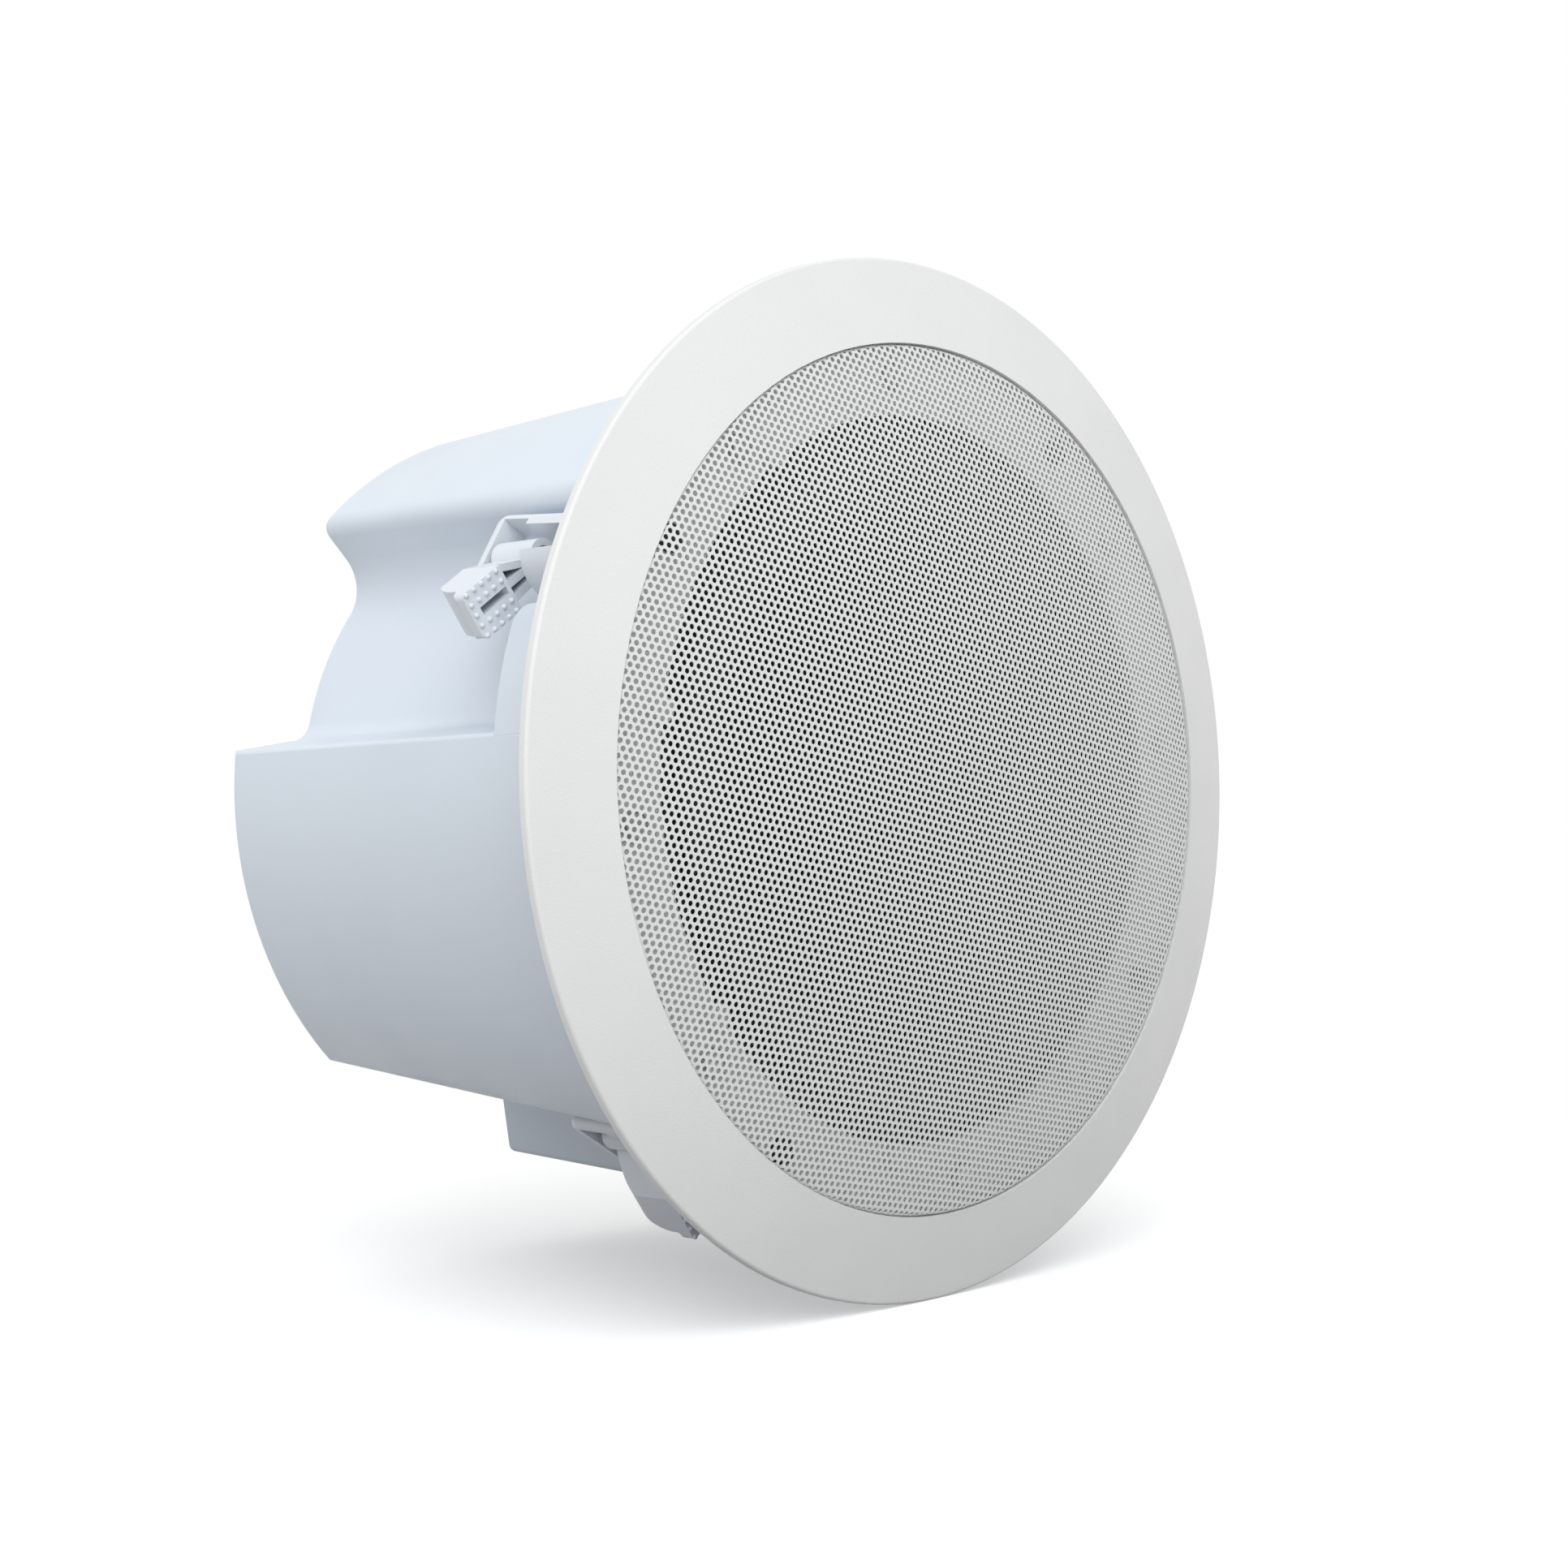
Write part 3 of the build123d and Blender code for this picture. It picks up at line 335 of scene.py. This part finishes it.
def threaded_screw(low, high, clamps):
    """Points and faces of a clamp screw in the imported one's box: domed head, thread and tip."""
    head_r = (high.x - low.x) / 2
    shank_r, head = SHANK_SHARE * head_r, HEAD_SHARE * head_r
    under, thread_end = low.y + head, high.y - TIP_LENGTH
    tilts = [k * pi / (2 * DOME_STEPS) for k in range(DOME_STEPS + 1)]
    dome = [(head_r * sin(tilt), low.y + DOME_SHARE * head * (1 - cos(tilt))) for tilt in tilts]
    top = lathe(dome + [(head_r, under), (shank_r, under)], HEAD_SIDES)
    shank = thread_rows(shank_r, clamps.thread_depth, clamps.thread_pitch, under, thread_end, THREAD_SIDES,
                        THREAD_ROWS)
    root_r = shank_r - clamps.thread_depth
    tip = lathe([(root_r, thread_end), (TIP_SHARE * root_r, high.y), (0, high.y)], THREAD_SIDES)
    return joined([top, shank, tip])


def clamp_place(number):
    """Where a clamp's screw stands: the place of its axis, and its direction from the speaker's axis."""
    joint = next(j for j in frame["joints"] if j["name"] == f"flag_swing_{number}")
    x, _, z = joint["pos_m"]
    return Vector((x, 0, z)), atan2(z, x)


# Node groups

def new_group(name, inputs, outputs):
    group = bpy.data.node_groups.new(name, "ShaderNodeTree")
    for socket, kind, default in inputs:
        made = group.interface.new_socket(name=socket, in_out="INPUT", socket_type=kind)
        made.default_value = default
    for socket, kind in outputs:
        group.interface.new_socket(name=socket, in_out="OUTPUT", socket_type=kind)
    start = group.nodes.new("NodeGroupInput")
    end = group.nodes.new("NodeGroupOutput")
    return group, start, end


def noise(tree, scale, detail, roughness=0.5):
    node = tree.nodes.new("ShaderNodeTexNoise")
    node.inputs["Detail"].default_value = detail
    node.inputs["Roughness"].default_value = roughness
    place = tree.nodes.new("ShaderNodeTexCoord")
    tree.links.new(place.outputs["Object"], node.inputs["Vector"])
    if isinstance(scale, (int, float)):
        node.inputs["Scale"].default_value = scale
    else:
        tree.links.new(scale, node.inputs["Scale"])
    return node


def ramp(tree, value, low, high, to_low, to_high):
    node = tree.nodes.new("ShaderNodeMapRange")
    for socket, number in (("From Min", low), ("From Max", high), ("To Min", to_low), ("To Max", to_high)):
        node.inputs[socket].default_value = number
    tree.links.new(value, node.inputs["Value"])
    return node.outputs["Result"]


def multiply(tree, first, second):
    node = tree.nodes.new("ShaderNodeMath")
    node.operation = "MULTIPLY"
    tree.links.new(first, node.inputs[0])
    tree.links.new(second, node.inputs[1])
    return node.outputs[0]


def shade_group():
    """Slow, faint changes of a colour over a moulded or painted surface."""
    group, start, end = new_group(
        "Shade variation",
        [("Colour", "NodeSocketColor", (0.8, 0.8, 0.8, 1)), ("Scale", "NodeSocketFloat", 30.0),
         ("Amount", "NodeSocketFloat", 0.06)],
        [("Colour", "NodeSocketColor")])
    cloud = noise(group, start.outputs["Scale"], detail=3.0)
    dark = ramp(group, cloud.outputs["Fac"], low=0.35, high=0.7, to_low=0.0, to_high=1.0)
    share = multiply(group, dark, start.outputs["Amount"])
    mix = group.nodes.new("ShaderNodeMix")
    mix.data_type = "RGBA"
    mix.blend_type = "MULTIPLY"
    group.links.new(share, mix.inputs["Factor"])
    group.links.new(start.outputs["Colour"], mix.inputs["A"])
    mix.inputs["B"].default_value = SHADE_TINT
    group.links.new(mix.outputs["Result"], end.inputs["Colour"])
    return group


def grain_group():
    """Fine pebbled grain of a mould or of sprayed paint, as a height and a roughness."""
    group, start, end = new_group(
        "Surface grain",
        [("Scale", "NodeSocketFloat", 900.0), ("Roughness", "NodeSocketFloat", 0.5),
         ("Spread", "NodeSocketFloat", 0.1)],
        [("Height", "NodeSocketFloat"), ("Roughness", "NodeSocketFloat")])
    fine = noise(group, start.outputs["Scale"], detail=2.0, roughness=0.45)
    height = ramp(group, fine.outputs["Fac"], low=0.3, high=0.7, to_low=0.0, to_high=1.0)
    group.links.new(height, end.inputs["Height"])
    slow = noise(group, scale=60.0, detail=3.0)
    swing = ramp(group, slow.outputs["Fac"], low=0.3, high=0.7, to_low=-0.5, to_high=0.5)
    change = multiply(group, swing, start.outputs["Spread"])
    total = group.nodes.new("ShaderNodeMath")
    total.operation = "ADD"
    group.links.new(change, total.inputs[0])
    group.links.new(start.outputs["Roughness"], total.inputs[1])
    group.links.new(total.outputs[0], end.inputs["Roughness"])
    return group


def shared_group(name, maker):
    return bpy.data.node_groups.get(name) or maker()


# Finishes

def grained(name, base, roughness, grain_scale, bump, distance_mm, shade=0.06, shade_scale=30.0, metallic=0.0,
            specular=0.5, spread=0.1):
    """A finish with faint shade variation and a grain of its own scale."""
    finish = bpy.data.materials.get(name)
    if finish:
        return finish
    finish = bpy.data.materials.new(name)
    finish.use_nodes = True
    tree = finish.node_tree
    shader = tree.nodes["Principled BSDF"]
    shader.inputs["Metallic"].default_value = metallic
    shader.inputs["Specular IOR Level"].default_value = specular
    tint = tree.nodes.new("ShaderNodeGroup")
    tint.node_tree = shared_group("Shade variation", shade_group)
    tint.inputs["Colour"].default_value = (*base, 1)
    tint.inputs["Scale"].default_value = shade_scale
    tint.inputs["Amount"].default_value = shade
    tree.links.new(tint.outputs["Colour"], shader.inputs["Base Color"])
    grain = tree.nodes.new("ShaderNodeGroup")
    grain.node_tree = shared_group("Surface grain", grain_group)
    grain.inputs["Scale"].default_value = grain_scale
    grain.inputs["Roughness"].default_value = roughness
    grain.inputs["Spread"].default_value = spread
    tree.links.new(grain.outputs["Roughness"], shader.inputs["Roughness"])
    lift = tree.nodes.new("ShaderNodeBump")
    lift.inputs["Strength"].default_value = bump
    lift.inputs["Distance"].default_value = distance_mm * MM
    tree.links.new(grain.outputs["Height"], lift.inputs["Height"])
    tree.links.new(lift.outputs["Normal"], shader.inputs["Normal"])
    return finish


def bezel_finish():
    return grained("bezel_plastic", bpy.context.scene.speaker_finish.bezel, roughness=0.46, grain_scale=2600,
                   bump=0.5, distance_mm=0.05, shade=0.05)


def grille_finish():
    return grained("grille_paint", bpy.context.scene.speaker_finish.grille, roughness=0.42, grain_scale=2600,
                   bump=0.2, distance_mm=0.02, shade=0.05)


def can_finish():
    return grained("can_plastic", bpy.context.scene.speaker_finish.can, roughness=0.40, grain_scale=2400,
                   bump=0.10, distance_mm=0.02, shade=0.07, shade_scale=12)


def clamp_finish():
    return grained("clamp_plastic", bpy.context.scene.speaker_finish.clamp, roughness=0.36, grain_scale=2400,
                   bump=0.08, distance_mm=0.02)


def cone_finish():
    return grained("cone_pulp", bpy.context.scene.speaker_finish.cone, roughness=0.85, grain_scale=700,
                   bump=0.6, distance_mm=0.2, shade=0.4, shade_scale=220, specular=0.25)


def foam_finish():
    return grained("seal_foam", (0.03, 0.03, 0.032), roughness=0.95, grain_scale=1600, bump=0.8,
                   distance_mm=0.25, shade=0.4, shade_scale=600, specular=0.2)


def rubber_finish():
    return grained("surround_rubber", (0.02, 0.02, 0.021), roughness=0.6, grain_scale=1800, bump=0.15,
                   distance_mm=0.04, shade=0.2)


def zinc_finish():
    return grained("zinc_plating", (0.62, 0.62, 0.63), roughness=0.32, grain_scale=1200, bump=0.1,
                   distance_mm=0.02, shade=0.3, shade_scale=120, metallic=1.0, spread=0.2)


def black_screw_finish():
    return grained("screw_black", (0.035, 0.035, 0.037), roughness=0.38, grain_scale=1200, bump=0.1,
                   distance_mm=0.02, shade=0.2, shade_scale=120)


def basket_finish():
    return grained("basket_paint", (0.03, 0.03, 0.032), roughness=0.5, grain_scale=1500, bump=0.2,
                   distance_mm=0.03, shade=0.2)


def ferrite_finish():
    return grained("magnet_ferrite", (0.05, 0.05, 0.053), roughness=0.7, grain_scale=500, bump=0.4,
                   distance_mm=0.08, shade=0.4, shade_scale=90)


def film_finish():
    return grained("former_film", (0.35, 0.20, 0.06), roughness=0.3, grain_scale=900, bump=0.05,
                   distance_mm=0.02, shade=0.2)


def wire_finish():
    return grained("coil_wire", (0.62, 0.26, 0.11), roughness=0.3, grain_scale=5000, bump=0.5,
                   distance_mm=0.05, shade=0.3, metallic=1.0)


def cloth_finish():
    return grained("spider_cloth", (0.42, 0.30, 0.12), roughness=0.9, grain_scale=1400, bump=0.7,
                   distance_mm=0.15, shade=0.4, shade_scale=500, specular=0.2)


def board_finish():
    return grained("tag_board", (0.20, 0.11, 0.05), roughness=0.6, grain_scale=900, bump=0.2,
                   distance_mm=0.05, shade=0.3)


def gland_finish():
    return grained("gland_plastic", (0.30, 0.31, 0.32), roughness=0.5, grain_scale=1500, bump=0.15,
                   distance_mm=0.03, shade=0.12)


def dress(node, finish):
    """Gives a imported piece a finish."""
    slots = frame["nodes"][node].data.materials
    slots.clear()
    slots.append(finish)


# Operators

class SPEAKER_OT_grille(bpy.types.Operator):
    """Makes the perforated sheet in four quarters, hole by hole"""
    bl_idname = "speaker.grille"
    bl_label = "Grille"

    def execute(self, context):
        grille = context.scene.speaker_grille
        centres = hole_centres(grille)
        heading = np.arctan2(centres[:, 1], centres[:, 0]) + pi
        quarter = np.floor(heading / (tau / QUARTERS)).astype(int) % QUARTERS
        finish = grille_finish()
        for number in range(QUARTERS):
            points, faces = perforated(centres[quarter == number], grille)
            piece = add_piece(f"grille_quarter_{number + 1}", points, faces, "housing", finish)
            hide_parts("grille")
        return {"FINISHED"}


class SPEAKER_OT_flag_pips(bpy.types.Operator):
    """Sets the grip pips on each flag's pad"""
    bl_idname = "speaker.flag_pips"
    bl_label = "Flag pips"

    def execute(self, context):
        clamps = context.scene.speaker_clamps
        radius, rise = clamps.pip / 2, clamps.pip_rise
        pip = lathe([(radius * cos(tilt), -rise * sin(tilt)) for tilt in PIP_TILTS], PIP_SIDES)
        middle = (clamps.pip_rows - 1) / 2
        for number in CLAMPS:
            axis, heading = clamp_place(number)
            turn = Matrix.Rotation(-heading - clamps.parked, 4, "Y")
            pips = []
            for row in range(clamps.pip_rows):
                for column in range(clamps.pip_rows):
                    if column == middle and row > 0:
                        continue
                    place = Vector((clamps.pip_first - row * clamps.pip_along, clamps.pad_face,
                                    (column - middle) * clamps.pip_across))
                    pips.append(moved(pip, Matrix.Translation(axis + turn @ place)))
            points, faces = joined(pips)
            add_piece(f"flag_pips_{number}", points, faces, f"flag_{number}", clamp_finish())
        return {"FINISHED"}


class SPEAKER_OT_clamp_screws(bpy.types.Operator):
    """Replaces the plain clamp screws by threaded ones"""
    bl_idname = "speaker.clamp_screws"
    bl_label = "Clamp screws"

    def execute(self, context):
        clamps = context.scene.speaker_clamps
        for number in CLAMPS:
            node = f"clamp_screw_{number}"
            low, high = (Vector(corner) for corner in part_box(node))
            axis, _ = clamp_place(number)
            points, faces = moved(threaded_screw(low, high, clamps), Matrix.Translation(axis))
            piece = add_piece(f"clamp_screw_thread_{number}", points, faces, f"screw_{number}",
                              black_screw_finish())
            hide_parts(node)
        return {"FINISHED"}


class SPEAKER_OT_finishes(bpy.types.Operator):
    """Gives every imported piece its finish"""
    bl_idname = "speaker.finishes"
    bl_label = "Finishes"

    def execute(self, context):
        finishes = {
            bezel_finish: ["bezel"], grille_finish: ["grille"], can_finish: ["back_can"],
            clamp_finish: [f"clamp_{part}_{k}" for k in CLAMPS for part in ("guide", "flag")],
            cone_finish: ["cone", "dust_cap"], foam_finish: ["can_seal", "driver_gasket"],
            rubber_finish: ["surround"], basket_finish: ["driver_basket"], ferrite_finish: ["magnet"],
            film_finish: ["coil_former"], wire_finish: ["coil_winding"], cloth_finish: ["spider"],
            board_finish: ["tag_strip"], gland_finish: ["gland_body", "gland_cap", "gland_nut"],
            black_screw_finish: [f"clamp_screw_{k}" for k in CLAMPS],
            zinc_finish: ["can_screws", "driver_screws", "top_plate", "yoke"]
            + [f"clamp_nut_{k}" for k in CLAMPS],
        }
        for finish, nodes in finishes.items():
            for node in nodes:
                dress(node, finish())
        return {"FINISHED"}


class SPEAKER_OT_stage(bpy.types.Operator):
    """Sets the camera, the soft light and a white floor"""
    bl_idname = "speaker.stage"
    bl_label = "Stage"

    def execute(self, context):
        scene = context.scene
        stage = scene.speaker_stage
        scene.view_settings.view_transform = "Standard"
        add_camera(scene, stage)
        add_lamp(stage)
        add_world(scene, stage)
        add_floor(stage)
        return {"FINISHED"}


# Camera, light and floor

def add_camera(scene, stage):
    lens = bpy.data.cameras.new("camera")
    lens.lens = stage.lens
    lens.sensor_width = SENSOR_WIDTH_MM
    camera = bpy.data.objects.new("camera", lens)
    scene.collection.objects.link(camera)
    facing = Vector(stage.camera_forward).to_track_quat("-Z", "Y").to_matrix().to_4x4()
    roll = Matrix.Rotation(stage.camera_roll, 4, "Z")
    camera.matrix_world = Matrix.Translation(Vector(stage.camera_place)) @ facing @ roll
    scene.camera = camera


def add_lamp(stage):
    """One large soft lamp, above and behind the camera."""
    lamp = bpy.data.lights.new("key", "AREA")
    lamp.energy = stage.key_power
    lamp.color = stage.key_colour
    lamp.size = stage.key_size
    key = bpy.data.objects.new("key", lamp)
    bpy.context.collection.objects.link(key)
    place = Vector(stage.light_from).normalized() * stage.key_distance
    key.matrix_world = Matrix.Translation(place) @ (-place).to_track_quat("-Z", "Y").to_matrix().to_4x4()


def seen_directly(tree):
    """1 for rays that show the background: from the camera, by reflection or through glass."""
    path = tree.nodes.new("ShaderNodeLightPath")
    total = path.outputs["Is Camera Ray"]
    for other in ("Is Glossy Ray", "Is Transmission Ray"):
        more = tree.nodes.new("ShaderNodeMath")
        more.operation = "MAXIMUM"
        tree.links.new(total, more.inputs[0])
        tree.links.new(path.outputs[other], more.inputs[1])
        total = more.outputs[0]
    return total


def choice(tree, share, first, second):
    """A value that goes from the first to the second with a share from 0 to 1."""
    node = tree.nodes.new("ShaderNodeMix")
    tree.links.new(share, node.inputs["Factor"])
    for socket, value in (("A", first), ("B", second)):
        if isinstance(value, (int, float)):
            node.inputs[socket].default_value = value
        else:
            tree.links.new(value, node.inputs[socket])
    return node.outputs["Result"]


def add_world(scene, stage):
    """A studio that lights the object from one side, and shows as plain white."""
    world = bpy.data.worlds.new("studio")
    scene.world = world
    world.use_nodes = True
    tree = world.node_tree
    background = tree.nodes["Background"]
    background.inputs["Color"].default_value = (1, 1, 1, 1)
    place = tree.nodes.new("ShaderNodeTexCoord")
    side = tree.nodes.new("ShaderNodeVectorMath")
    side.operation = "DOT_PRODUCT"
    tree.links.new(place.outputs["Generated"], side.inputs[0])
    side.inputs[1].default_value = Vector(stage.light_from).normalized()
    light = ramp(tree, side.outputs["Value"], low=-1, high=1, to_low=stage.dim_side,
                 to_high=stage.bright_side)
    tree.links.new(choice(tree, seen_directly(tree), light, 1.0), background.inputs["Strength"])


def add_floor(stage):
    """Floor that takes the bezel's shadow: white where it is seen, dim for the light that it throws back."""
    low, high = (Vector(corner) for corner in CAD_BOX)
    half = stage.floor_reach
    mesh = bpy.data.meshes.new("floor")
    corners = [(-half, -half, 0), (half, -half, 0), (half, half, 0), (-half, half, 0)]
    mesh.from_pydata(corners, [], [(0, 1, 2, 3)])
    floor = bpy.data.objects.new("floor", mesh)
    floor.location = (0, (low.y + high.y) / 2, low.z)
    bpy.context.collection.objects.link(floor)
    finish = bpy.data.materials.new("floor_white")
    finish.use_nodes = True
    tree = finish.node_tree
    shader = tree.nodes["Principled BSDF"]
    shader.inputs["Roughness"].default_value = 1.0
    shader.inputs["Specular IOR Level"].default_value = 0.0
    shader.inputs["Emission Color"].default_value = (1, 1, 1, 1)
    seen = seen_directly(tree)
    tree.links.new(ramp(tree, seen, 0, 1, FLOOR_BOUNCE, FLOOR_WHITE), shader.inputs["Base Color"])
    tree.links.new(ramp(tree, seen, 0, 1, 0, FLOOR_GLOW), shader.inputs["Emission Strength"])
    place = tree.nodes.new("ShaderNodeTexCoord")
    away = tree.nodes.new("ShaderNodeVectorMath")
    away.operation = "LENGTH"
    tree.links.new(place.outputs["Object"], away.inputs[0])
    fade = ramp(tree, away.outputs["Value"], low=FADE_FROM * half, high=half, to_low=1, to_high=0)
    tree.links.new(fade, shader.inputs["Alpha"])
    mesh.materials.append(finish)


# Panel and registration

class SPEAKER_PT_pieces(bpy.types.Panel):
    """Lists the speaker's pieces"""
    bl_idname = "SPEAKER_PT_pieces"
    bl_label = "Speaker"
    bl_space_type = "VIEW_3D"
    bl_region_type = "UI"
    bl_category = "Speaker"

    def draw(self, context):
        for operator in OPERATORS:
            self.layout.operator(operator.bl_idname)


OPERATORS = (SPEAKER_OT_grille, SPEAKER_OT_flag_pips, SPEAKER_OT_clamp_screws, SPEAKER_OT_finishes,
             SPEAKER_OT_stage)
CLASSES = (*SETTINGS.values(), *OPERATORS, SPEAKER_PT_pieces)


def register():
    for made in CLASSES:
        bpy.utils.register_class(made)
    for name, settings in SETTINGS.items():
        setattr(bpy.types.Scene, name, PointerProperty(type=settings))


def unregister():
    for name in SETTINGS:
        delattr(bpy.types.Scene, name)
    for made in reversed(CLASSES):
        bpy.utils.unregister_class(made)


def main():
    register()
    bpy.ops.speaker.grille()
    bpy.ops.speaker.flag_pips()
    bpy.ops.speaker.clamp_screws()
    bpy.ops.speaker.finishes()
    bpy.ops.speaker.stage()


if __name__ == "__main__":
    main()
